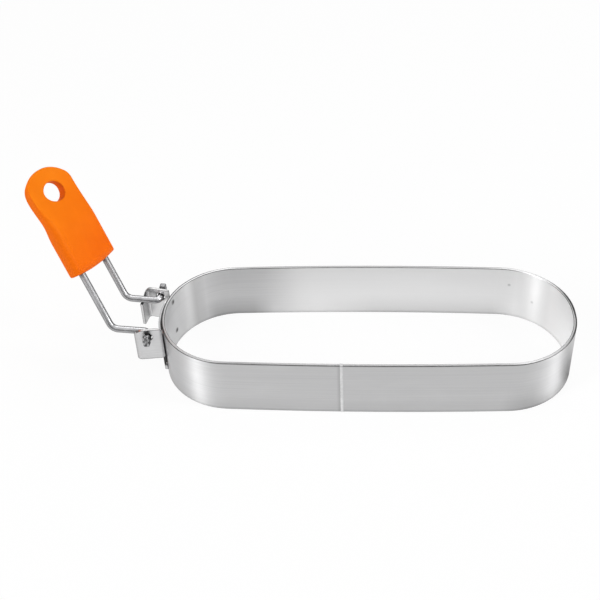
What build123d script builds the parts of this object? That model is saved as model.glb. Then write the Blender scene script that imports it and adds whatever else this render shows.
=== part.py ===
from build123d import *
from math import asin, atan, cos, degrees, radians, sin, sqrt
import os

# Egg ring: an oblong steel band with a folding wire handle in a silicone grip.
# Millimetres. X runs along the ring away from the handle, Y across it and Z up.
# The origin is on the resting edge, in the middle of the wall at the handle's end.

# Band
ring_length = 190.0
ring_width = 70.3
ring_height = 28.6
wall = 1.5
corner_radius = 32.9
end_flat = 2.2
rim_round = 0.3

# Butt weld that closes the band, near the middle of its front side
seam_offset = 11.1
seam_gap = 1.3
seam_proud = 0.12

# Bracket, one formed strip: a curved base, two ears and a turned-in stop on each ear
sheet = 1.3
bracket_gap = 0.1
base_half = 12.2
base_low = 4.0
base_above_hinge = 0.3
ear_below_hinge = 13.3
ear_above_hinge = 4.0
ear_length = 8.6
ear_corner = 4.6
near_ear_splay = 7.0
far_ear_splay = 12.0
root_bend = 0.7
fold_bend = 1.2
stop_length = 5.0
stop_gap = 0.15

# Spot welds between the base and the band
weld_radius = 0.8
weld_from_side = 1.0
weld_from_bottom = 3.7
weld_from_top = 1.6
weld_dimple = 0.15
weld_gap = 0.03

# Hinge, whose line is turned a little in plan
hinge_out = 3.8
hinge_below_rim = 1.9
hinge_turn = 3.7
hinge_hole_radius = 2.2

# Wire
wire_radius = 1.6
leg_inside_base = 1.3
pin_bend = 2.5
near_pin_past_base = 6.4
far_pin_past_base = 8.4
head_height = 5.2
head_width = 2.9
head_length = 2.3
head_round = 0.8
near_leg_length = 17.0
far_leg_length = 15.4
leg_climb = 1.6
swing_gap = 0.8
handle_bend = 5.0
handle_rise = 52.7
handle_heading = 137.2
loop_depth = 22.0
loop_bend = 6.0

# Grip
grip_start = 25.65
grip_length = 49.35
grip_beside_leg = 6.0
grip_base_bow = 1.25
grip_base_skew = 0.5
grip_cap_radius = 24.0
grip_cap_blend = 6.0
grip_side_round = 3.6
grip_edge = 0.6
sleeve_gap = 0.1

# Grip's thin plate, measured from the wire's plane, and the ramps from it to the thick body
plate_front = 1.05
plate_back = 2.55
front_step = 3.05
back_step = 0.95
front_ramp_start = 25.1
front_ramp_run = 9.5
back_ramp_start = 19.0
back_ramp_run = 6.0
ramp_round = 26.0
plate_start = 26.5
plate_flare = 9.5
plate_taper = 1.5
body_wide = 32.0
body_short = 2.9

# Hanging hole
hang_hole_half_length = 7.4
hang_hole_half_width = 4.8
hang_hole_from_base = 37.65

# Spare length of a cut, past the faces that it opens
overrun = 2.0

# Places on the band and the hinge
ring_end = -wall / 2
ring_centre = ring_end + ring_length / 2
corner_centre = ring_end + corner_radius
half_flat = end_flat / 2
side_rise = ring_width / 2 - half_flat - corner_radius
side_turn = 2 * degrees(atan(side_rise / (ring_length / 2 - corner_radius)))
seam_x = ring_centre - seam_offset
seam_y = -ring_width / 2
hinge_height = ring_height - hinge_below_rim
hinge_axis = Vector(sin(radians(hinge_turn)), cos(radians(hinge_turn)))
hinge_centre = Vector(ring_end - hinge_out, 0, hinge_height)
near, far = -1, 1

# Heights of the base and the ears, and the places of the spot welds near the base's corners
base_high = hinge_height + base_above_hinge
ear_low = hinge_height - ear_below_hinge
ear_high = hinge_height + ear_above_hinge
weld_spread = base_half - weld_from_side
weld_low = base_low + weld_from_bottom
weld_high = base_high - weld_from_top

# Places of the legs and the pins, inside and past the base, and the grip's half width
leg_spread = base_half - leg_inside_base
near_pin_reach = base_half + near_pin_past_base
far_pin_reach = base_half + far_pin_past_base
grip_half = leg_spread + grip_beside_leg


def end_wall_plane(across, height, outward):
    """Plane on the rounded end, outward from the band's outer face, with Z pointing out."""
    radius = corner_radius + outward
    side = near if across < 0 else far
    centre = Vector(corner_centre, side * half_flat, height)
    foot = Vector(centre.X - sqrt(radius**2 - (across - centre.Y) ** 2), across, height)
    return Plane(foot, z_dir=foot - centre)


def hinge_point(along):
    """Point of the hinge line, at a distance from its middle towards the far side."""
    return hinge_centre + hinge_axis * along


# Outer plan of the band, whose sides bow out a little
with BuildSketch() as ring_plan:
    with BuildLine():
        flat = Line((ring_end, 0), (ring_end, half_flat))
        corner = JernArc(flat @ 1, flat % 1, corner_radius, side_turn - 90)
        TangentArc(corner @ 1, (ring_centre, ring_width / 2), tangent=corner % 1)
        mirror(about=Plane.YZ.offset(ring_centre))
        mirror(about=Plane.XZ)
    make_face()

weld_planes = [
    end_wall_plane(side * weld_spread, height, -wall)
    for side in (near, far)
    for height in (weld_low, weld_high)
]
weld_reach = wall + bracket_gap + sheet / 2

# Band, open at the seam and at the spot welds
with BuildPart() as ring_band:
    with BuildSketch():
        add(ring_plan.sketch)
        offset(ring_plan.sketch, amount=-wall, mode=Mode.SUBTRACT)
    extrude(amount=ring_height)
    fillet(ring_band.edges().filter_by(Plane.XY), rim_round)
    with BuildSketch():
        with Locations((seam_x, seam_y)):
            Rectangle(seam_gap, 2 * (wall + overrun))
    extrude(amount=ring_height, mode=Mode.SUBTRACT)
    for plane in weld_planes:
        with BuildSketch(plane):
            Circle(weld_radius + weld_gap)
        extrude(amount=wall + overrun, both=True, mode=Mode.SUBTRACT)
ring_band.part.label = "ring_band"

# Weld bead in the seam, a little proud of both faces
with BuildPart() as seam_weld:
    with BuildSketch():
        with Locations((seam_x, seam_y + wall / 2)):
            Rectangle(seam_gap, wall + 2 * seam_proud)
    extrude(amount=ring_height)
    fillet(seam_weld.edges().filter_by(Axis.Z), seam_proud)
seam_weld.part.label = "seam_weld"

# Bracket plan, traced along the faces that look at each other across the gap
base_outer = bracket_gap + sheet
base_turn = degrees(asin((base_half - half_flat) / (corner_radius + base_outer)))
splays = {near: near_ear_splay, far: far_ear_splay}
stops = {}
with BuildSketch() as strip_plan:
    with BuildLine():
        for side, splay in splays.items():
            middle = Line(
                (ring_end - base_outer, 0), (ring_end - base_outer, side * half_flat)
            )
            base = JernArc(middle @ 1, middle % 1, corner_radius + base_outer, -side * base_turn)
            root = JernArc(base @ 1, base % 1, root_bend, side * (90 + base_turn - splay))
            ear = Line(root @ 1, root @ 1 + (root % 1) * ear_length)
            fold = JernArc(ear @ 1, ear % 1, fold_bend, side * 90)
            stops[side] = Line(fold @ 1, fold @ 1 + (fold % 1) * stop_length)
        offset(amount=sheet, side=Side.LEFT)
    make_face()

# Legs of the wire, which lie on the stops at rest
leg_lengths = {near: near_leg_length, far: far_leg_length}
leg_roots = {side: hinge_point(side * leg_spread) for side in leg_lengths}
bends = {
    side: leg_roots[side] + Vector(-length, 0, leg_climb)
    for side, length in leg_lengths.items()
}


def stop_top(side):
    """Height of a stop's upper edge, just under the leg that it holds."""
    run = leg_roots[side].X - (stops[side] @ 0).X
    slope = leg_climb / leg_lengths[side]
    return hinge_height + run * slope - wire_radius * sqrt(1 + slope**2) - stop_gap


# Bracket: the strip cut to the heights of its base, ears and stops, and drilled
strip_reach = base_half + ear_length + overrun
with BuildPart() as hinge_bracket:
    with BuildSketch(Plane.XY.offset(base_low)):
        add(strip_plan.sketch)
    extrude(amount=ear_high - base_low)
    with BuildSketch(Plane.XY.offset(base_high)):
        Rectangle(2 * strip_reach, 2 * (leg_spread + wire_radius + swing_gap))
    extrude(amount=ear_high, mode=Mode.SUBTRACT)
    with BuildSketch():
        Rectangle(2 * strip_reach, 2 * strip_reach)
        with Locations((ring_end - base_outer - overrun, 0)):
            Rectangle(
                strip_reach,
                2 * base_half,
                align=(Align.MIN, Align.CENTER),
                mode=Mode.SUBTRACT,
            )
    extrude(amount=ear_low, mode=Mode.SUBTRACT)
    for side, stop in stops.items():
        with BuildSketch(Plane.XY.offset(stop_top(side))):
            with Locations((stop @ 0 + stop @ 1) / 2):
                Rectangle(2 * (fold_bend + sheet), stop_length)
        extrude(amount=ear_high, mode=Mode.SUBTRACT)
        with BuildSketch(Plane.XZ):
            with Locations(((stop @ 0).X - sheet + ear_corner, ear_high - ear_corner)):
                Rectangle(strip_reach, strip_reach, align=(Align.MAX, Align.MIN))
                Circle(ear_corner, mode=Mode.SUBTRACT)
        extrude(amount=-side * strip_reach, mode=Mode.SUBTRACT)
    with BuildSketch(Plane(hinge_centre, z_dir=hinge_axis)):
        Circle(hinge_hole_radius)
    extrude(amount=strip_reach, both=True, mode=Mode.SUBTRACT)
    for plane in weld_planes:
        with BuildSketch(plane):
            Circle(weld_radius + weld_gap)
        extrude(amount=weld_reach, mode=Mode.SUBTRACT)
hinge_bracket.part.label = "hinge_bracket"

# Spot welds, each a nugget that leaves a dimple inside the band
with BuildPart() as spot_welds:
    for plane in weld_planes:
        with BuildSketch(plane.offset(weld_dimple)):
            Circle(weld_radius)
        extrude(amount=weld_reach - weld_dimple)
spot_welds.part.label = "spot_welds"

# Handle plane through both bends: X across the grip, Y up along it, Z out of its face
rise = radians(handle_rise)
heading = radians(handle_heading)
handle_up = Vector(cos(rise) * cos(heading), cos(rise) * sin(heading), sin(rise))
bend_middle = (bends[near] + bends[far]) / 2
bend_span = bends[far] - bends[near]
handle_across = bend_span - handle_up * bend_span.dot(handle_up)
half_spacing = handle_across.length / 2
handle_plane = Plane(bend_middle, x_dir=handle_across, z_dir=handle_across.cross(handle_up))
side_plane = Plane(bend_middle, x_dir=handle_up, z_dir=handle_across)


def wire_path():
    """Centre line of the wire: pins turned out through the ears, legs and one loop."""
    loop_end = grip_start + loop_depth
    return FilletPolyline(
        hinge_point(-near_pin_reach),
        leg_roots[near],
        bends[near],
        handle_plane.from_local_coords((-half_spacing, loop_end, 0)),
        handle_plane.from_local_coords((half_spacing, loop_end, 0)),
        bends[far],
        leg_roots[far],
        hinge_point(far_pin_reach),
        radius=(pin_bend, handle_bend, loop_bend, loop_bend, handle_bend, pin_bend),
    )


# Wire, with its ends pinched flat so that the pins stay in their ears
with BuildPart() as wire_handle:
    with BuildLine() as wire_line:
        wire_path()
    with BuildSketch(Plane(wire_line.line @ 0, z_dir=wire_line.line % 0)):
        Circle(wire_radius)
    sweep()
    for side, reach in {near: near_pin_reach, far: far_pin_reach}.items():
        head_foot = hinge_point(side * (reach - head_length))
        with BuildSketch(Plane(head_foot, x_dir=(0, 0, 1), z_dir=hinge_axis * side)):
            RectangleRounded(head_height, head_width, head_round)
        extrude(amount=head_length)
wire_handle.part.label = "wire_handle"

# Grip: its thin plate, full width at the hanging hole, and the thick body that runs out into it
grip_end = grip_start + grip_length
grip_shoulder = grip_end - grip_cap_radius + sqrt(grip_cap_radius**2 - grip_half**2)
plate_foot = grip_start + plate_start
plate_full = plate_foot + plate_flare
body_full = grip_start + body_wide
body_end = grip_shoulder - body_short
body_front = plate_front + front_step
body_back = plate_back + back_step
with BuildPart() as grip_plate:
    with BuildSketch(handle_plane.offset(-plate_back)) as plate_plan:
        with BuildLine():
            edge = Polyline(
                (-grip_half, grip_shoulder),
                (-grip_half, plate_full),
                (plate_taper - grip_half, plate_foot),
                (grip_half - plate_taper, plate_foot),
                (grip_half, plate_full),
                (grip_half, grip_shoulder),
            )
            ThreePointArc(edge @ 1, (0, grip_end), edge @ 0)
        make_face()
        fillet(plate_plan.vertices().sort_by(Axis.Y)[-2:], grip_cap_blend)
    extrude(amount=plate_front + plate_back)
    fillet(grip_plate.faces().filter_by(handle_plane).edges(), grip_edge)
with BuildPart() as grip:
    with BuildSketch(handle_plane.offset(-body_back)):
        with BuildLine():
            sides = Polyline(
                (-grip_half, grip_start - grip_base_skew),
                (-grip_half, body_full),
                (grip_edge - grip_half, body_end),
                (grip_half - grip_edge, body_end),
                (grip_half, body_full),
                (grip_half, grip_start + grip_base_skew),
            )
            ThreePointArc(sides @ 1, (0, grip_start - grip_base_bow), sides @ 0)
        make_face()
    extrude(amount=body_front + body_back)
    end_faces = grip.faces().sort_by(Axis(handle_plane.origin, handle_up))
    ends = end_faces[0].edges() + end_faces[-1].edges()
    outline = grip.faces().filter_by(handle_plane).edges()
    fillet([edge for edge in outline if edge not in ends], grip_side_round)
    with BuildSketch(side_plane):
        with BuildLine():
            front = FilletPolyline(
                (grip_start - overrun, body_front),
                (grip_start + front_ramp_start, body_front),
                (grip_start + front_ramp_start + front_ramp_run, plate_front),
                (grip_end, plate_front),
                radius=ramp_round,
            )
            back = FilletPolyline(
                (grip_end, -plate_back),
                (grip_start + back_ramp_start + back_ramp_run, -plate_back),
                (grip_start + back_ramp_start, -body_back),
                (grip_start - overrun, -body_back),
                radius=ramp_round,
            )
            Line(front @ 1, back @ 0)
            Line(back @ 1, front @ 0)
        make_face()
    extrude(amount=grip_half + overrun, both=True, mode=Mode.INTERSECT)
    base_face = grip.faces().sort_by(Axis(handle_plane.origin, handle_up))[0]
    fillet(base_face.edges(), grip_edge)
    add(grip_plate.part)
    with BuildLine() as sleeve_line:
        wire_path()
    with BuildSketch(Plane(sleeve_line.line @ 0, z_dir=sleeve_line.line % 0)):
        Circle(wire_radius + sleeve_gap)
    sweep(mode=Mode.SUBTRACT)
    with BuildSketch(handle_plane):
        with Locations((0, grip_start + hang_hole_from_base)):
            Ellipse(hang_hole_half_length, hang_hole_half_width)
    extrude(amount=grip_half, both=True, mode=Mode.SUBTRACT)
grip.part.label = "grip"

# Places that the mounts, the hinge and the openings take
print("hinge point", hinge_centre, "axis", hinge_axis)
print("hanging hole", handle_plane.from_local_coords((0, grip_start + hang_hole_from_base, 0)))
print("hanging hole axes", handle_plane.x_dir, handle_plane.z_dir)
print("stop tops", {side: stop_top(side) for side in stops})
print("bends", bends)

os.makedirs("parts", exist_ok=True)
for piece in (ring_band, seam_weld, hinge_bracket, spot_welds, wire_handle, grip):
    export_step(piece.part, f"parts/{piece.part.label}.step")
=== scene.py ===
import bpy
import numpy as np
from math import atan2, cos, pi, radians, sin, sqrt
from mathutils import Matrix, Vector


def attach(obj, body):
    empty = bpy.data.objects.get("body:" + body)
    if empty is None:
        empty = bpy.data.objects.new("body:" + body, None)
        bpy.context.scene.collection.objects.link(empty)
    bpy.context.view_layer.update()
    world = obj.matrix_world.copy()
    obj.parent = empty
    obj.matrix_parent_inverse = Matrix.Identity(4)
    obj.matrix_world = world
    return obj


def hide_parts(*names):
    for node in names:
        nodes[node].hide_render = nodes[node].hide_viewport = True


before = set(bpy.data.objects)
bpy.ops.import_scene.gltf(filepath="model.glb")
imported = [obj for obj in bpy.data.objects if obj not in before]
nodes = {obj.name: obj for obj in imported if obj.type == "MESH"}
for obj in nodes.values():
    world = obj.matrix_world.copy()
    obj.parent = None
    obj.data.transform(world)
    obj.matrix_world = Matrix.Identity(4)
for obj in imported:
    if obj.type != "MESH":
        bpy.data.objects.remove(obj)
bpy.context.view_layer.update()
mm, corner_samples = 0.001, 8


def metres(*lengths):
    """Lengths in millimetres as a tuple in metres."""
    return tuple(length * mm for length in lengths)


def grey(value):
    """Colour of one grey value."""
    return (value, value, value, 1)


# Camera, fitted to the outlines in the photograph

camera_place = Vector(metres(93.96, -382.7, 362.3))
camera_pitch, camera_yaw, camera_roll = radians(40.32), radians(-4.515), radians(-2.786)
camera_lens, camera_sensor = 66.12, 36


def add_camera():
    """Camera at the photograph's angle: 40 degrees down, a long lens, slightly rolled."""
    ahead = Vector((sin(camera_yaw), cos(camera_yaw), 0))
    forward = ahead * cos(camera_pitch) - Vector((0, 0, sin(camera_pitch)))
    level = Vector((cos(camera_yaw), -sin(camera_yaw), 0))
    above = level.cross(forward)
    right = level * cos(camera_roll) + above * sin(camera_roll)
    up = above * cos(camera_roll) - level * sin(camera_roll)
    data = bpy.data.cameras.new("photo_camera")
    data.lens = camera_lens
    data.sensor_width = camera_sensor
    camera = bpy.data.objects.new("photo_camera", data)
    turn = Matrix((right, up, -forward)).transposed().to_4x4()
    camera.matrix_world = Matrix.Translation(camera_place) @ turn
    bpy.context.scene.collection.objects.link(camera)
    bpy.context.scene.camera = camera


# Nodes

class Shader:
    """Node tree of a material or a world, with short calls to add nodes and join them."""

    def __init__(self, owner):
        owner.use_nodes = True
        self.owner = owner
        self.tree = owner.node_tree
        self.tree.nodes.clear()

    def add(self, kind, values=None, **settings):
        """Adds a node, sets its properties, and sets or links its inputs."""
        node = self.tree.nodes.new(kind)
        for key, value in settings.items():
            setattr(node, key, value)
        for key, value in (values or {}).items():
            self.join(node.inputs[key], value)
        return node

    def join(self, socket, value):
        """Links a socket to another one, or sets it to a plain value."""
        if isinstance(value, bpy.types.NodeSocket):
            self.tree.links.new(value, socket)
        else:
            socket.default_value = value

    def locate(self):
        """Adds the place on the object, its parts x, y and z, and the way its surface faces."""
        coordinates = self.add("ShaderNodeTexCoord").outputs
        self.place, self.normal = coordinates["Object"], coordinates["Normal"]
        parts = self.add("ShaderNodeSeparateXYZ", {"Vector": self.place})
        self.x, self.y, self.z = parts.outputs

    def height(self, direction):
        """The Z part of a direction."""
        return self.add("ShaderNodeSeparateXYZ", {"Vector": direction}).outputs["Z"]

    def vector(self, operation, first, second):
        """Result of a Vector Math node."""
        node = self.add("ShaderNodeVectorMath", {0: first, 1: second}, operation=operation)
        return node.outputs["Vector" if operation == "SUBTRACT" else "Value"]

    def distance(self, point):
        """Distance of the place to a point."""
        return self.vector("DISTANCE", self.place, point)

    def math(self, operation, first, second=0.0):
        """Result of a Math node."""
        node = self.add("ShaderNodeMath", {0: first, 1: second}, operation=operation)
        return node.outputs[0]

    def size(self, value):
        """A value without its sign."""
        return self.math("ABSOLUTE", value)

    def rest(self, share):
        """What a share leaves of 1."""
        return self.math("SUBTRACT", 1.0, share)

    def total(self, first, *others):
        """Several values added together."""
        for other in others:
            first = self.math("ADD", first, other)
        return first

    def product(self, first, *others):
        """Several values multiplied together."""
        for other in others:
            first = self.math("MULTIPLY", first, other)
        return first

    def span(self, value, reach, low, high):
        """Maps a reach of a value, from its start to its end, to low..high, held past both."""
        ends = {"From Min": reach[0], "From Max": reach[1], "To Min": low, "To Max": high}
        return self.add("ShaderNodeMapRange", {"Value": value, **ends}).outputs[0]

    def rise(self, value, reach, share=1.0):
        """0 before a reach and share past it."""
        return self.span(value, reach, 0.0, share)

    def fall(self, value, reach, share=1.0):
        """share before a reach and 0 past it."""
        return self.span(value, reach, share, 0.0)

    def window(self, value, up, down, share=1.0):
        """share between two reaches, and 0 before the first and past the second."""
        return self.product(self.rise(value, up, share), self.fall(value, down))

    def noise(self, scale, detail=3.0, rough=0.55):
        """Noise with its own scale along each axis, from 0 to 1."""
        stretched = self.add("ShaderNodeMapping", {"Vector": self.place, "Scale": scale})
        values = {"Scale": 1.0, "Detail": detail, "Roughness": rough}
        node = self.add("ShaderNodeTexNoise", {"Vector": stretched.outputs[0], **values})
        return node.outputs["Fac"]

    def ramp(self, value, *stops):
        """Colour ramp through (position, colour) stops."""
        node = self.add("ShaderNodeValToRGB", {"Fac": value})
        band = node.color_ramp
        while len(band.elements) < len(stops):
            band.elements.new(1.0)
        for element, (position, colour) in zip(band.elements, stops):
            element.position = position
            element.color = colour
        return node.outputs[0]

    def mix(self, share, first, second):
        """A colour with a share of another one over it."""
        node = self.add("ShaderNodeMix", data_type="RGBA")
        inputs = {socket.identifier: socket for socket in node.inputs}
        self.join(inputs["Factor_Float"], share)
        self.join(inputs["A_Color"], first)
        self.join(inputs["B_Color"], second)
        return next(s for s in node.outputs if s.identifier == "Result_Color")

    def over(self, share, first, second):
        """A surface with a share of another one over it."""
        return self.add("ShaderNodeMixShader", {0: share, 1: first, 2: second}).outputs[0]

    def seen(self, path):
        """1 for what the camera sees, directly or through the object, and 0 for other light."""
        return self.math("MAXIMUM", path["Is Camera Ray"], path["Is Transmission Ray"])

    def crease(self, reach, inside=False):
        """1 deep in corners, or with inside along outer edges, and 0 on open faces."""
        settings = {"samples": corner_samples, "inside": inside, "only_local": inside}
        node = self.add("ShaderNodeAmbientOcclusion", {"Distance": reach}, **settings)
        return self.rest(node.outputs["AO"])

    def bump(self, height, depth, strength):
        """Direction of a surface that a height from 0 to 1 raises by up to a depth."""
        values = {"Height": height, "Distance": depth, "Strength": strength}
        return self.add("ShaderNodeBump", values).outputs[0]

    def principled(self, values):
        """Ends the tree with a Principled surface, and returns what it belongs to."""
        return self.finish(self.add("ShaderNodeBsdfPrincipled", values).outputs[0])

    def finish(self, surface, output="ShaderNodeOutputMaterial"):
        """Joins a surface to the output, and returns what the tree belongs to."""
        self.tree.links.new(surface, self.add(output).inputs["Surface"])
        return self.owner


def new_paint(name):
    """Shader of a new material, with the place on the object."""
    paint = Shader(bpy.data.materials.new(name))
    paint.locate()
    return paint


# Floor and light. Here and below, two numbers in one value are a reach: where a change
# starts and where it ends. A share is how much of the change there is, from 0 to 1.

ring_middle = metres(94.25, 0, 0)
floor_half, floor_height, floor_white = 3.0, -0.02 * mm, 0.9
floor_shown, floor_mirrored = 0.92, 0.7

# The floor in reflections, all painted light: its glow, strong by the ring and faint far off,
# a painted pool of light inside the ring, and a painted shadow under its right end
glow_reach, glow_near, glow_far = (0.12, 0.6), 0.78, 0.12
pool_width, pool_start, pool_end = metres(26, 40), metres(38, 66), metres(180, 200)
pool_share = 0.45
painted_shadow_spot, painted_shadow_reach = metres(198, -7.5, 0), metres(7, 15)

sky_light, sky_mirrored, sky_reach = 0.38, 1.1, (-0.1, 1.0)
sky_bands = ((0.0, grey(0.1)), (0.35, grey(0.1)), (0.6, grey(0.75)), (1.0, grey(0.9)))

lamp_target = Vector((0.07, 0, 0))
panel_size, box_size = (0.24, 1.0), (0.7, 0.7)


def floor_glow(paint):
    """Strength of the floor in reflections, painted light: less with distance, more in the
    pool, and less in the painted shadow.
    """
    glow = paint.span(paint.distance(ring_middle), glow_reach, glow_near, glow_far)
    pool = paint.product(
        paint.fall(paint.size(paint.y), pool_width),
        paint.window(paint.x, pool_start, pool_end, pool_share),
    )
    painted_shadow = paint.rise(paint.distance(painted_shadow_spot), painted_shadow_reach)
    return paint.product(paint.total(glow, pool), painted_shadow)


def add_floor():
    """A plain white floor that keeps the object's faint shadow."""
    mesh = bpy.data.meshes.new("floor")
    square = ((-1, -1), (1, -1), (1, 1), (-1, 1))
    corners = [(x * floor_half, y * floor_half, floor_height) for x, y in square]
    mesh.from_pydata(corners, [], [(0, 1, 2, 3)])
    floor = bpy.data.objects.new("floor", mesh)
    bpy.context.scene.collection.objects.link(floor)
    paint = new_paint("floor_white")
    path = paint.add("ShaderNodeLightPath").outputs
    lit = paint.add("ShaderNodeBsdfDiffuse", {"Color": grey(floor_white)}).outputs[0]
    white = paint.add("ShaderNodeEmission", {"Color": grey(1.0), "Strength": 1.0}).outputs[0]
    # In reflections the floor glows with the painted light of floor_glow
    glow = {"Color": grey(1.0), "Strength": floor_glow(paint)}
    mirrored = paint.add("ShaderNodeEmission", glow).outputs[0]
    surface = paint.over(paint.product(paint.seen(path), floor_shown), lit, white)
    share = paint.product(path["Is Glossy Ray"], floor_mirrored)
    mesh.materials.append(paint.finish(paint.over(share, surface, mirrored)))


def add_sky():
    """White to the camera, soft light for the object, and a dark horizon in reflections."""
    sky = Shader(bpy.data.worlds.new("studio"))
    path = sky.add("ShaderNodeLightPath").outputs
    high = sky.height(sky.add("ShaderNodeTexCoord").outputs["Generated"])
    bright = sky.ramp(sky.span(high, sky_reach, 0.0, 1.0), *sky_bands)
    looks = ((grey(1.0), sky_light), (bright, sky_mirrored), (grey(1.0), 1.0))
    light, mirrored, shown = (
        sky.add("ShaderNodeBackground", {"Color": colour, "Strength": strength}).outputs[0]
        for colour, strength in looks
    )
    surface = sky.over(path["Is Glossy Ray"], light, mirrored)
    surface = sky.over(sky.seen(path), surface, shown)
    bpy.context.scene.world = sky.finish(surface, "ShaderNodeOutputWorld")


def add_lamp(name, place, size, power):
    """Soft box of a width and a height that faces the object."""
    data = bpy.data.lights.new(name, "AREA")
    data.shape = "RECTANGLE"
    data.size, data.size_y = size
    data.energy = power
    lamp = bpy.data.objects.new(name, data)
    lamp.location = place
    lamp.rotation_euler = (lamp_target - Vector(place)).to_track_quat("-Z", "Y").to_euler()
    bpy.context.scene.collection.objects.link(lamp)


# Band. Its outline has round ends, with a short flat between their two corners, and sides
# that bow in by side_bow times the square of the distance from the middle, in metres.

end_centre, half_flat, corner_radius = metres(62.1, 1.1, 32.9)
side_bow = 0.298

# Grain: level lines, wider streaks and clouds, by their scale along each axis
line_scale, streak_scale, cloud_scale = (18, 18, 3200), (9, 9, 420), (38, 38, 110)
line_reach, patch_reach, patch_share = (0.3, 0.7), (0.5, 0.75), 0.3
line_dark, line_pale = (0.70, 0.70, 0.705, 1), (0.77, 0.77, 0.775, 1)
streak_tone, cloud_tone = (0.66, 0.66, 0.665, 1), grey(0.82)
band_roughness, line_depth, line_strength = (0.36, 0.46), 0.004 * mm, 0.3
anisotropy, brush_turn = 0.85, 0.25

# Inner face: painted light, lighter from the left bend on and a painted glare by the right
# end, with two patches of painted shade
inner_depth = metres(-2, 0)
inner_painted_light_start, inner_painted_light_share, inner_painted_light_tone = metres(44, 60), 0.7, grey(0.86)
inner_painted_glare_start, inner_painted_glare_tone = metres(180, 188), grey(0.95)
left_painted_shade, right_painted_shade = (metres(3, 10), metres(11, 15.5)), (metres(166, 172), metres(174, 182))
left_painted_shade_share, left_painted_shade_tone = 0.8, grey(0.42)
right_painted_shade_share, right_painted_shade_tone = 0.45, grey(0.5)

# Two faint marks by the right end, and halos round the four spot welds, whose places
# weld_x, weld_y and weld_heights are in millimetres
faint_marks = (metres(162.9, 31.8, 19.3), metres(173.9, 27.1, 12.3))
faint_reach, faint_share, faint_tone = metres(0.3, 1.0), 0.5, grey(0.3)
weld_x, weld_y, weld_heights = 2.42, 11.2, (7.7, 25.4)
halo_reach, halo_share, halo_tone = metres(0.9, 1.7), 0.7, grey(0.2)

# Shade towards the floor: outside, more so at the right, two parts inside, and the foot
low_tone = grey(0.15)
low_reach, low_share = metres(0, 9), 0.17
right_low_x, right_low_z, right_low_share = metres(154, 168), metres(0, 17), 0.36
inner_low_z = metres(0, 12)
inner_left, inner_left_share = (metres(12, 20), metres(38, 48)), 0.4
inner_right, inner_right_share = (metres(72, 100), metres(156, 166)), 0.22
foot_reach, foot_share = metres(0.3, 1.8), 0.22

# Seam: a painted shadow darkens the band on the left side of the bead
seam_x, seam_front = 83.15 * mm, metres(-31, -30)
seam_start, seam_end, seam_share, seam_shadow_tone = metres(0, 0.2), metres(0.8, 2.2), 0.3, grey(0.2)

# Rim: painted shade, grey on top along the sides and dark at the edges, but for a glare at the
# far right
flat_top, top_share, rim_top_shade_tone = (0.95, 0.99), 0.65, grey(0.3)
bright_ends, bright_share = metres(56, 68), 0.75
edge_start, edge_end, edge_share, rim_edge_shade_tone = (0.06, 0.25), (0.93, 0.99), 0.92, grey(0.05)
rim_glare, rim_glare_y = (metres(163, 169), metres(178, 186)), metres(5, 12)
rim_glare_share = 0.9
side_rim_y, side_rim_z, side_rim_share = metres(34.2, 34.7), metres(27.8, 28.2), 0.3
end_rim_depth, end_rim_z = metres(0.45, 0.85), metres(28, 28.3)
end_rim_start, end_rim_y = metres(4, 18), metres(-22, -13)
end_rim_share, end_rim_shade_tone = 0.93, grey(0.03)
wider_rim, wider_x, wider_y = 0.4 * mm, metres(179, 186), metres(-4, 4)


def from_middle(paint):
    """Distance along the band to the middle of its length."""
    return paint.size(paint.math("SUBTRACT", paint.x, ring_middle[0]))


def end_reach(paint):
    """How far a place lies past the centre of its rounded end: along the band, and in all."""
    out = paint.math("SUBTRACT", from_middle(paint), end_centre)
    side = paint.math("SUBTRACT", paint.size(paint.y), half_flat)
    side = paint.math("MAXIMUM", side, 0.0)
    squares = paint.total(paint.product(out, out), paint.product(side, side))
    return out, paint.math("SQRT", squares)


def brushed_grain(paint):
    """Fine level lines, and their tone with wide streaks and soft clouds over it."""
    lines = paint.noise(line_scale, rough=0.6)
    tone = paint.ramp(lines, (line_reach[0], line_dark), (line_reach[1], line_pale))
    streaks = paint.rise(paint.noise(streak_scale, detail=2.0), patch_reach, patch_share)
    tone = paint.mix(streaks, tone, streak_tone)
    clouds = paint.rise(paint.noise(cloud_scale), patch_reach, patch_share)
    return lines, paint.mix(clouds, tone, cloud_tone)


def inner_face(paint):
    """1 on the inner face, which looks at the middle of the ring, and 0 on the outer one."""
    middle = paint.vector("SUBTRACT", paint.place, ring_middle)
    return paint.fall(paint.vector("DOT_PRODUCT", middle, paint.normal), inner_depth)


def inner_painted_light_and_shade(paint, tone, inner):
    """Paints light on the inner face, up to a painted glare by the right end, and paints shade
    in two patches.
    """
    light = paint.mix(paint.rise(paint.x, inner_painted_glare_start), inner_painted_light_tone, inner_painted_glare_tone)
    share = paint.product(inner, paint.rise(paint.x, inner_painted_light_start, inner_painted_light_share))
    tone = paint.mix(share, tone, light)
    painted_shade = paint.product(inner, paint.window(paint.x, *left_painted_shade, left_painted_shade_share))
    tone = paint.mix(painted_shade, tone, left_painted_shade_tone)
    painted_shade = paint.product(inner, paint.window(paint.x, *right_painted_shade, right_painted_shade_share))
    return paint.mix(painted_shade, tone, right_painted_shade_tone)


def small_marks(paint, tone):
    """Adds the two faint marks and the halos of the four spot welds."""
    for mark in faint_marks:
        near = paint.fall(paint.distance(mark), faint_reach, faint_share)
        tone = paint.mix(near, tone, faint_tone)
    for y in (-weld_y, weld_y):
        for z in weld_heights:
            near = paint.fall(paint.distance(metres(weld_x, y, z)), halo_reach, halo_share)
            tone = paint.mix(near, tone, halo_tone)
    return tone


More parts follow.
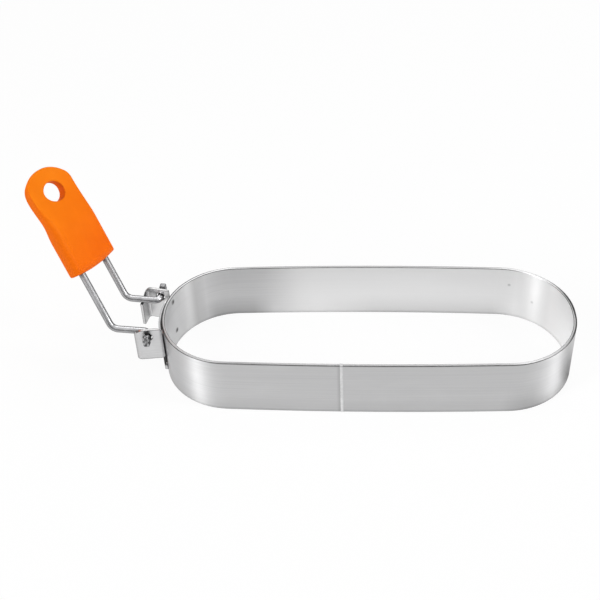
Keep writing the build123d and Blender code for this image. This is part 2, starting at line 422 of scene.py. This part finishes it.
def low_shade(paint, tone, inner):
    """Darkens the band towards the floor."""
    right = paint.product(
        paint.rise(paint.x, right_low_x), paint.fall(paint.z, right_low_z, right_low_share)
    )
    outside = paint.total(paint.fall(paint.z, low_reach, low_share), right)
    along = paint.total(
        paint.window(paint.x, *inner_left, inner_left_share),
        paint.window(paint.x, *inner_right, inner_right_share),
    )
    inside = paint.product(along, paint.fall(paint.z, inner_low_z))
    foot = paint.fall(paint.z, foot_reach, foot_share)
    faces = (paint.product(paint.rest(inner), outside), paint.product(inner, inside))
    return paint.mix(paint.total(*faces, foot), tone, low_tone)


def seam_painted_shadow(paint, tone):
    """Paints a shadow on the front of the band close to the left of the weld bead."""
    left = paint.math("SUBTRACT", seam_x, paint.x)
    share = paint.window(left, seam_start, seam_end, seam_share)
    return paint.mix(paint.product(share, paint.fall(paint.y, seam_front)), tone, seam_shadow_tone)


def side_rim(paint):
    """Mask of painted shade: 1 on the outer part of the rim along both bowed sides, and 0
    elsewhere.
    """
    along = from_middle(paint)
    out = paint.total(paint.size(paint.y), paint.product(along, along, side_bow))
    return paint.product(paint.rise(out, side_rim_y), paint.rise(paint.z, side_rim_z))


def end_rim(paint):
    """Mask of painted shade: 1 on the outer part of the rim at both ends, wider at the far
    right, and 0 elsewhere.
    """
    out, reach = end_reach(paint)
    wider = paint.product(paint.rise(paint.x, wider_x, wider_rim), paint.rise(paint.y, wider_y))
    depth = paint.math("SUBTRACT", corner_radius, paint.total(reach, wider))
    return paint.product(
        paint.fall(depth, end_rim_depth),
        paint.rise(paint.z, end_rim_z),
        paint.rise(out, end_rim_start),
        paint.rise(paint.y, end_rim_y),
    )


def rim_painted_shade(paint, tone):
    """Paints shade on the rim: greys its flat top along the sides, and darkens its edges."""
    lean = paint.size(paint.height(paint.normal))
    sides = paint.rest(paint.rise(from_middle(paint), bright_ends, bright_share))
    top = paint.product(paint.rise(lean, flat_top, top_share), sides)
    tone = paint.mix(top, tone, rim_top_shade_tone)
    glare = paint.window(paint.x, *rim_glare, rim_glare_share)
    plain = paint.rest(paint.product(glare, paint.rise(paint.y, rim_glare_y)))
    edge = paint.product(paint.window(lean, edge_start, edge_end), plain, edge_share)
    tone = paint.mix(edge, tone, rim_edge_shade_tone)
    tone = paint.mix(paint.product(side_rim(paint), side_rim_share), tone, rim_edge_shade_tone)
    return paint.mix(paint.product(end_rim(paint), plain, end_rim_share), tone, end_rim_shade_tone)


def brushed_steel():
    """Steel brushed along the band, with the tones that the photograph shows along it."""
    paint = new_paint("band_brushed")
    lines, tone = brushed_grain(paint)
    inner = inner_face(paint)
    # Painted light and painted shade on the inner face
    tone = inner_painted_light_and_shade(paint, tone, inner)
    tone = small_marks(paint, tone)
    tone = low_shade(paint, tone, inner)
    # Painted shadow beside the weld bead
    tone = seam_painted_shadow(paint, tone)
    # Painted shade on the rim
    tone = rim_painted_shade(paint, tone)
    around = paint.add("ShaderNodeTangent", direction_type="RADIAL", axis="Z").outputs[0]
    return paint.principled({
        "Base Color": tone,
        "Metallic": 1.0,
        "Roughness": paint.span(lines, line_reach, *band_roughness),
        "Anisotropic": anisotropy,
        "Anisotropic Rotation": brush_turn,
        "Tangent": around,
        "Normal": paint.bump(lines, line_depth, line_strength),
    })


# Bracket, welds and wire. Satin steel: its grain and clouds, painted shade in creases, and
# sharp edges.

satin_dark, satin_pale, satin_reach = 0.88, 1.1, (0.3, 0.7)
satin_cloud_scale, satin_cloud_reach, satin_cloud_share = (160, 160, 160), (0.4, 0.75), 0.4
satin_cloud_tone, satin_tint, satin_spread = 0.75, grey(0.45), 0.15
satin_depth, satin_strength = 0.01 * mm, 0.35
crease_width, crease_reach, crease_shade_tone = 2.5 * mm, (0.1, 0.7), grey(0.03)
sharp_width, sharp_reach, sharp_tone = 0.35 * mm, (0.05, 0.4), grey(0.08)
lift_tone, shade_tone, shade_share = grey(0.95), grey(0.02), 0.93
# The handle's legs: rougher, and darker with painted shade
leg_reach, leg_share, leg_shade_tone = metres(30, 37), 0.2, grey(0.2)

# Bracket: painted shadow at its low end by the near ear and on its top edge by the band,
# and painted light on the ears
root_y, root_low, root_high = metres(-10.5, -9), metres(5.8, 7), metres(12.5, 14)
strip_z, strip_y, strip_gap = metres(26.3, 26.7), metres(10, 11), (0.45, 0.75)
strip_reach = tuple(corner_radius + gap * mm for gap in strip_gap)
far_ear_y, near_ear_y = metres(8, 10), metres(-11, -10)
far_ear_share, near_ear_share = 0.75, 0.35

# Weld bead's top end, darkened with painted shade, and the marks on the near pin's head
bead_top, bead_share = metres(28, 28.5), 0.5
pin_y, pin_scale = metres(-14.2, -13.4), (1500, 1500, 500)
pin_reach, pin_share = (0.42, 0.56), 0.85


def bracket_painted_shadow(paint):
    """Painted shadow: 1 on the base's low end by the near ear and on its top edge by the band,
    else 0.
    """
    near = paint.fall(paint.y, root_y)
    below = paint.window(paint.z, root_low, root_high)
    top = paint.rise(paint.z, strip_z)
    middle = paint.fall(paint.size(paint.y), strip_y)
    close = paint.fall(end_reach(paint)[1], strip_reach)
    return paint.math("MAXIMUM", paint.product(near, below), paint.product(top, middle, close))


def bracket_painted_light(paint):
    """Painted light: part of the way to 1 on the far ear, less so on the near ear, and 0
    between them.
    """
    far = paint.rise(paint.y, far_ear_y, far_ear_share)
    near = paint.fall(paint.y, near_ear_y, near_ear_share)
    return paint.math("MAXIMUM", far, near)


def bead_top_shade(paint):
    """Painted shade: part of the way to 1 at the weld bead's top end, and 0 below it."""
    return paint.rise(paint.z, bead_top, bead_share)


def pin_head(paint):
    """Dark marks on the near pin's pinched head."""
    marks = paint.rise(paint.noise(pin_scale, detail=2.0), pin_reach, pin_share)
    return paint.product(paint.fall(paint.y, pin_y), marks)


def satin_tones(paint, fine, colour):
    """A colour with a fine grain and soft darker clouds."""
    dark, pale, dim = (
        (*[part * factor for part in colour], 1)
        for factor in (satin_dark, satin_pale, satin_cloud_tone)
    )
    tone = paint.ramp(fine, (satin_reach[0], dark), (satin_reach[1], pale))
    clouds = paint.noise(satin_cloud_scale, detail=2.0)
    return paint.mix(paint.rise(clouds, satin_cloud_reach, satin_cloud_share), tone, dim)


def satin_steel(
    name, colour, roughness, grain, crease=0.0, edge=0.0, light=None, shade=None, rise=0.0
):
    """Satin steel with a fine grain.

    crease is the share of painted shade in corners and edge the share of darkness along
    outer edges. light is a mask of painted light that lightens it, and shade a mask that
    darkens it: painted shade on the bracket and the weld bead, and marks on the pin's head.
    rise is the roughness that the handle's legs have more than its level part, and it also
    paints shade on the legs.
    """
    paint = new_paint(name)
    fine = paint.noise(grain, detail=4.0, rough=0.6)
    tone = satin_tones(paint, fine, colour)
    # Painted light where the light mask is
    if light:
        tone = paint.mix(light(paint), tone, lift_tone)
    # Painted shade deep in corners
    if crease:
        deep = paint.rise(paint.crease(crease_width), crease_reach, crease)
        tone = paint.mix(deep, tone, crease_shade_tone)
    if edge:
        sharp = paint.rise(paint.crease(sharp_width, inside=True), sharp_reach, edge)
        tone = paint.mix(sharp, tone, sharp_tone)
    if shade:
        tone = paint.mix(paint.product(shade(paint), shade_share), tone, shade_tone)
    spread = (roughness * (1 - satin_spread), roughness * (1 + satin_spread))
    rough = paint.span(fine, satin_reach, *spread)
    if rise:
        leg = paint.rise(paint.z, leg_reach)
        rough = paint.total(rough, paint.product(leg, rise))
        # Painted shade on the legs
        tone = paint.mix(paint.product(leg, leg_share), tone, leg_shade_tone)
    return paint.principled({
        "Base Color": tone,
        "Metallic": 1.0,
        "Roughness": rough,
        "Specular Tint": satin_tint,
        "Normal": paint.bump(fine, satin_depth, satin_strength),
    })


def dress(node, material):
    """Gives a CAD node one material."""
    mesh = nodes[node].data
    mesh.materials.clear()
    mesh.materials.append(material)


def dress_metal():
    """Gives every metal node its material."""
    # The weld bead gets painted shade at its top end
    weld = satin_steel(
        "weld_bright", (0.84, 0.84, 0.845), roughness=0.32, grain=(900,) * 3, shade=bead_top_shade
    )
    # The bracket: painted shade in its creases, painted light on its ears, and painted shadow
    # by the band and the near ear
    bracket = satin_steel(
        "bracket_satin", (0.66, 0.66, 0.67), roughness=0.34, grain=(60, 60, 1800),
        crease=0.45, edge=0.8, light=bracket_painted_light, shade=bracket_painted_shadow,
    )
    spots = satin_steel("weld_spots", (0.3, 0.29, 0.29), roughness=0.4, grain=(1200,) * 3)
    # The wire gets painted shade in its creases and on its legs
    wire = satin_steel(
        "wire_drawn", (0.48, 0.48, 0.49), roughness=0.29, grain=(300,) * 3,
        crease=0.9, shade=pin_head, rise=0.25,
    )
    dress("ring_band", brushed_steel())
    dress("seam_weld", weld)
    dress("hinge_bracket", bracket)
    dress("spot_welds", spots)
    dress("wire_handle", wire)


# Grip. Its values are in millimetres, in the plane of the handle, which has an origin and
# three directions: across, along and out of the face.

handle_origin = np.array((-20.75, 0, 28.3))
handle_across = np.array((0.31048, 0.90388, -0.29430))
handle_along = np.array((-0.44463, 0.41173, 0.79547))
handle_out = np.array((0.84018, -0.11613, 0.52973))

grip_start, grip_end = 25.65, 75.0
grip_half, base_bow, base_skew = 16.9, 1.25, 0.5
cap_radius, cap_blend = 24.0, 6.0
plate_front, plate_back = 1.05, 2.55
front_step, front_ramp = 3.05, (46.0, 65.0)
back_step, back_ramp = 0.95, (42.5, 53.0)
tip_step, tip_ramp = 1.0, (62.0, 73.0)
side_round, edge_round, round_ramp = 3.6, 0.6, (48.0, 64.5)
hole_half_length, hole_half_width, hole_along, hole_round = 7.4, 4.8, 63.3, 0.4
wire_half, wire_top, wire_bend, socket_radius = 10.3, 47.65, 6.0, 1.7

# Mesh: its cell, and how its points move onto the surface
blend_points, cap_points, base_points = 14, 40, 31
quick_cell, full_cell = 0.6, 0.35
net_passes, slope_step, least_slope, longest_move, tiny = 6, 0.02, 0.05, 0.6, 1e-12

# Colours: deep below, painted light making them pale above, and painted shade on the sides and
# in the hole's bore
deep_orange = (0.93, 0.146, 0.0, 1), (0.97, 0.161, 0.001, 1)
painted_light_orange = (0.93, 0.205, 0.002, 1), (0.97, 0.23, 0.004, 1)
side_shade_orange, bore_shade_orange = (0.71, 0.125, 0.002, 1), (0.66, 0.086, 0.001, 1)
painted_light_height, side_facing, side_share = metres(52, 84), (0.35, 0.9), 0.9
bore_facing, bore_share, bore_reach = (0.2, 0.8), 0.8, metres(8.2, 9.2)
orange_scale, dull_scale, mould_scale = (90,) * 3, (300,) * 3, (2600,) * 3
orange_reach, grip_roughness = (0.3, 0.7), (0.45, 0.58)
mould_depth, mould_strength, silicone_ior, silicone_gloss = 0.01 * mm, 0.3, 1.41, 0.1


def arc(centre, radius, start, end, count):
    """Points of an arc, from angle start to angle end."""
    turns = np.linspace(start, end, count)
    return [(centre[0] + radius * cos(t), centre[1] + radius * sin(t)) for t in turns]


def base_line(across):
    """Where the grip's base lies along the handle, from -1 to 1 across it."""
    return grip_start + base_skew * across + (across**2 - 1) * base_bow


def grip_outline():
    """Closed outline of the grip's plan: skewed and bowed base, straight sides, blended cap."""
    cap_centre = np.array((0, grip_end - cap_radius))
    blend_x = grip_half - cap_blend
    rise = sqrt((cap_radius - cap_blend) ** 2 - blend_x**2)
    blend_centre = cap_centre + np.array((blend_x, rise))
    cap_turn = atan2(rise, blend_x)
    blend = arc(blend_centre, cap_blend, 0, cap_turn, blend_points)
    cap = arc(cap_centre, cap_radius, cap_turn, pi - cap_turn, cap_points)
    across = np.linspace(-1, 1, base_points)
    base = list(zip(across * grip_half, base_line(across)))
    mirrored = [(-x, y) for x, y in blend[::-1]]
    return np.array(base + blend + cap[1:-1] + mirrored)


def plan_distance(a, b, outline):
    """Signed distance of points to a closed outline, negative inside."""
    best = np.full(a.shape, np.inf)
    crossings = np.zeros(a.shape, int)
    for (x0, y0), (x1, y1) in zip(outline, np.roll(outline, -1, axis=0)):
        dx, dy = x1 - x0, y1 - y0
        t = np.clip(((a - x0) * dx + (b - y0) * dy) / (dx * dx + dy * dy + tiny), 0, 1)
        best = np.minimum(best, (a - x0 - t * dx) ** 2 + (b - y0 - t * dy) ** 2)
        if dy:
            straddles = (y0 > b) != (y1 > b)
            crossings += straddles & (a < x0 + (b - y0) * dx / dy)
    return np.sqrt(best) * np.where(crossings % 2, -1, 1)


def round_meet(first, second, radius):
    """Where two solids meet, with their shared edge rounded."""
    over = np.hypot(np.maximum(first + radius, 0), np.maximum(second + radius, 0))
    return np.minimum(-radius, np.maximum(first, second)) + over


def ramp_share(b, ramp):
    """0 before a ramp along the grip, 1 past it, and smooth between."""
    t = np.clip((b - ramp[0]) / (ramp[1] - ramp[0]), 0, 1)
    return t * t * (3 - 2 * t)


def face_field(b, h):
    """Signed distance to the grip's stepped front and back faces."""
    front = h - plate_front - front_step * (1 - ramp_share(b, front_ramp))
    back = -h - plate_back - back_step * (1 - ramp_share(b, back_ramp))
    return np.maximum(front, back + tip_step * ramp_share(b, tip_ramp))


def hole_field(a, b):
    """Distance into the oval hanging hole, negative outside it."""
    wide = np.hypot(a / hole_half_length, (b - hole_along) / hole_half_width)
    slope = np.hypot(a / hole_half_length**2, (b - hole_along) / hole_half_width**2)
    return wide * (1 - wide) / np.maximum(slope, tiny)


def wire_field(a, b, h):
    """Distance into the channel of the wire's loop, negative outside it."""
    corner_a = np.maximum(np.abs(a) - wire_half + wire_bend, 0)
    corner_b = np.maximum(b - wire_top + wire_bend, 0)
    inner = np.minimum(np.maximum(np.abs(a) - wire_half, b - wire_top) + wire_bend, 0)
    loop = np.hypot(corner_a, corner_b) + inner - wire_bend
    return socket_radius - np.hypot(loop, h)


def grip_field(a, b, h, outline):
    """Signed distance to the grip, with a across the handle, b along it and h out of it."""
    faces = face_field(b, h)
    corner = side_round + (edge_round - side_round) * ramp_share(b, round_ramp)
    body = round_meet(plan_distance(a, b, outline), faces, corner)
    body = round_meet(body, base_line(a / grip_half) - b, edge_round)
    body = np.maximum(body, round_meet(hole_field(a, b), faces, hole_round))
    return np.maximum(body, wire_field(a, b, h))


def settle(point, field, cell):
    """Moves points onto the zero surface of a field, each pass by part of a cell at most."""
    for _ in range(net_passes):
        steps = np.eye(3) * slope_step
        slope = [field(*(point + d).T) - field(*(point - d).T) for d in steps]
        slope = np.stack(slope, 1) / (2 * slope_step)
        square = np.maximum((slope**2).sum(1), least_slope)
        move = -field(*point.T)[:, None] * slope / square[:, None]
        length = np.linalg.norm(move, axis=1, keepdims=True)
        point = point + move * np.minimum(1, longest_move * cell / np.maximum(length, tiny))
    return point


def crossing_quads(inside, number):
    """Quads round every grid edge that crosses the surface, from the numbers of its cells."""
    quads = []
    for axis, count in enumerate(number.shape):
        u, v = (axis + 1) % 3, (axis + 2) % 3
        first = np.take(inside, range(count), axis)
        second = np.take(inside, range(1, count + 1), axis)
        for edges, order in ((first & ~second, 1), (second & ~first, -1)):
            at = np.argwhere(edges)
            ring = []
            for du, dv in ((-1, -1), (0, -1), (0, 0), (-1, 0)):
                cell_at = at.copy()
                cell_at[:, u] += du
                cell_at[:, v] += dv
                ring.append(number[tuple(cell_at.T)])
            quads.append(np.stack(ring[::order], 1))
    return np.concatenate(quads)


def surface_net(field, low, high, cell):
    """Points and quads of the zero surface of a field, a point in each cell it crosses."""
    axes = [np.arange(a - cell, b + 2 * cell, cell) for a, b in zip(low, high)]
    inside = field(*np.meshgrid(*axes, indexing="ij")) < 0
    shape = [n - 1 for n in inside.shape]
    total = sum(
        inside[i:i + shape[0], j:j + shape[1], k:k + shape[2]].astype(int)
        for i in (0, 1) for j in (0, 1) for k in (0, 1)
    )
    active = (total > 0) & (total < 8)
    number = np.full(shape, -1)
    number[active] = np.arange(active.sum())
    point = np.argwhere(active) * cell + np.array([a[0] for a in axes]) + cell / 2
    return settle(point, field, cell), crossing_quads(inside, number)


def orange_tones(paint):
    """Orange that is deep below, paler above with painted light, and darker with painted shade
    on the sides and in the hole's bore.
    """
    cloud = paint.noise(orange_scale)
    deep = paint.ramp(cloud, *zip(orange_reach, deep_orange))
    pale = paint.ramp(cloud, *zip(orange_reach, painted_light_orange))
    # Painted light towards the top, then painted shade on the sides and in the bore
    tone = paint.mix(paint.rise(paint.z, painted_light_height), deep, pale)
    aside = paint.size(paint.vector("DOT_PRODUCT", paint.normal, handle_across.tolist()))
    tone = paint.mix(paint.rise(aside, side_facing, side_share), tone, side_shade_orange)
    outward = paint.size(paint.vector("DOT_PRODUCT", paint.normal, handle_out.tolist()))
    hole_middle = (handle_origin + hole_along * handle_along) * mm
    near = paint.fall(paint.distance(hole_middle.tolist()), bore_reach)
    bore = paint.product(paint.fall(outward, bore_facing, bore_share), near)
    return paint.mix(bore, tone, bore_shade_orange)


def silicone():
    """Orange silicone: dull, with a fine moulded grain."""
    paint = new_paint("grip_orange")
    grain = paint.noise(mould_scale, detail=2.0)
    return paint.principled({
        "Base Color": orange_tones(paint),
        "Roughness": paint.span(paint.noise(dull_scale), orange_reach, *grip_roughness),
        "Normal": paint.bump(grain, mould_depth, mould_strength),
        "IOR": silicone_ior,
        "Specular IOR Level": silicone_gloss,
    })


def add_grip():
    """The silicone grip as one closed mesh, with its hanging hole and the wire's channel."""
    outline = grip_outline()
    low = (-grip_half, grip_start - 2 * base_bow, -plate_back - back_step)
    high = (grip_half, grip_end, plate_front + front_step)
    cell = full_cell
    point, quads = surface_net(lambda a, b, h: grip_field(a, b, h, outline), low, high, cell)
    axes = np.array((handle_across, handle_along, handle_out))
    mesh = bpy.data.meshes.new("silicone_grip")
    mesh.from_pydata(((handle_origin + point @ axes) * mm).tolist(), [], quads.tolist())
    mesh.shade_smooth()
    mesh.materials.append(silicone())
    grip = bpy.data.objects.new("silicone_grip", mesh)
    bpy.context.scene.collection.objects.link(grip)
    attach(grip, "handle")
    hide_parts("grip")


# The scene

add_camera()
add_floor()
add_sky()
add_lamp("left_panel", place=(-0.8, -0.66, 0.6), size=panel_size, power=9.2)
add_lamp("right_panel", place=(1.12, -0.225, 0.6), size=panel_size, power=8)
add_lamp("top_box", place=(0.15, 0.6, 1.2), size=box_size, power=3.5)
dress_metal()
add_grip()

bpy.context.scene.view_settings.view_transform = "Standard"
